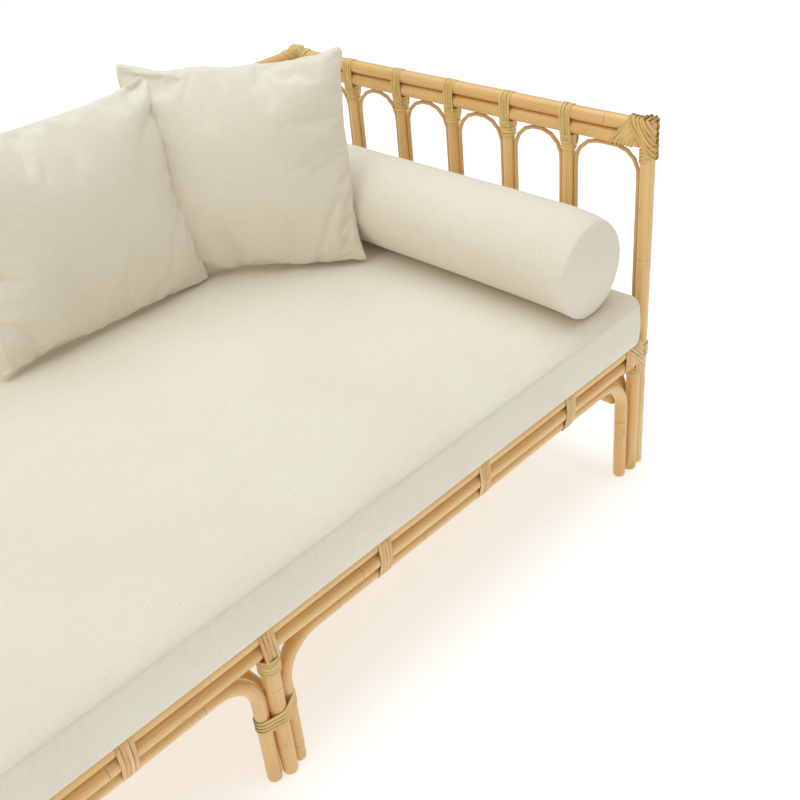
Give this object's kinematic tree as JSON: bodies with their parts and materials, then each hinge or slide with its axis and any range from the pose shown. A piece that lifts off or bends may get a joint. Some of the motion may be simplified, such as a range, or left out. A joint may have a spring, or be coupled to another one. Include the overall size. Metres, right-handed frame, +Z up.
{
  "type": "daybed",
  "caption": "Daybed of bound rattan poles with a spindle and arch back and arms, bent arch legs, a seat board, a box mattress, two square pillows and a round bolster.",
  "frame": {"origin": "on the floor, at the centre of the overall plan", "axes": "+X along the length towards the arm with the bolster, +Y from the open front to the back panel, +Z up"},
  "size_m": [1.9674, 0.9252, 0.8195],
  "materials": {
    "rattan_pole": "satin",
    "thin_rattan": "satin",
    "board_wood": "matte",
    "canvas": "matte"
  },
  "bodies": {
    "frame": {"back_bottom_rail_and_thin_arches": "thin_rattan", "back_centre_post": "rattan_pole", "back_left_corner_post": "rattan_pole", "back_left_leg_arch": "rattan_pole", "back_left_tall_post": "rattan_pole", "back_right_corner_post": "rattan_pole", "back_right_leg_arch": "rattan_pole", "back_right_tall_post": "rattan_pole", "back_seat_rail_lower": "rattan_pole", "back_spindle_1": "rattan_pole", "back_spindle_10": "rattan_pole", "back_spindle_11": "rattan_pole", "back_spindle_12": "rattan_pole", "back_spindle_2": "rattan_pole", "back_spindle_3": "rattan_pole", "back_spindle_4": "rattan_pole", "back_spindle_5": "rattan_pole", "back_spindle_6": "rattan_pole", "back_spindle_7": "rattan_pole", "back_spindle_8": "rattan_pole", "back_spindle_9": "rattan_pole", "back_top_rail_lower": "rattan_pole", "back_top_rail_upper": "rattan_pole", "centre_stretcher": "rattan_pole", "front_centre_post": "rattan_pole", "front_left_corner_post": "rattan_pole", "front_left_leg_arch": "rattan_pole", "front_left_tall_post": "rattan_pole", "front_right_corner_post": "rattan_pole", "front_right_leg_arch": "rattan_pole", "front_right_tall_post": "rattan_pole", "front_seat_rail_lower": "rattan_pole", "front_seat_rail_upper": "rattan_pole", "left_arm_bottom_rail_and_thin_arches": "thin_rattan", "left_arm_spindle_1": "rattan_pole", "left_arm_spindle_2": "rattan_pole", "left_arm_spindle_3": "rattan_pole", "left_arm_spindle_4": "rattan_pole", "left_arm_spindle_5": "rattan_pole", "left_arm_top_rail_lower": "rattan_pole", "left_arm_top_rail_upper": "rattan_pole", "left_end_leg_arch": "rattan_pole", "left_end_seat_rail": "rattan_pole", "left_end_stretcher": "rattan_pole", "right_arm_bottom_rail_and_thin_arches": "thin_rattan", "right_arm_spindle_1": "rattan_pole", "right_arm_spindle_2": "rattan_pole", "right_arm_spindle_3": "rattan_pole", "right_arm_spindle_4": "rattan_pole", "right_arm_spindle_5": "rattan_pole", "right_arm_top_rail_lower": "rattan_pole", "right_arm_top_rail_upper": "rattan_pole", "right_end_leg_arch": "rattan_pole", "right_end_seat_rail": "rattan_pole", "right_end_stretcher": "rattan_pole", "seat_board": "board_wood"},
    "mattress": {"mattress": "canvas"},
    "bolster": {"bolster": "canvas"},
    "right_pillow": {"right_pillow": "canvas"},
    "left_pillow": {"left_pillow": "canvas"}
  },
  "joints": [
    {"name": "mattress_lift", "type": "slide", "parent": "frame", "child": "mattress", "axis": [0, 0, 1], "range_m": [0, 0.45]},
    {"name": "bolster_lift", "type": "slide", "parent": "mattress", "child": "bolster", "axis": [0, 0, 1], "range_m": [0, 0.35]},
    {"name": "right_pillow_lift", "type": "slide", "parent": "bolster", "child": "right_pillow", "axis": [0, 0, 1], "range_m": [0, 0.35]},
    {"name": "left_pillow_lift", "type": "slide", "parent": "right_pillow", "child": "left_pillow", "axis": [0, -0.6, 0.8], "range_m": [0, 0.4]}
  ]
}
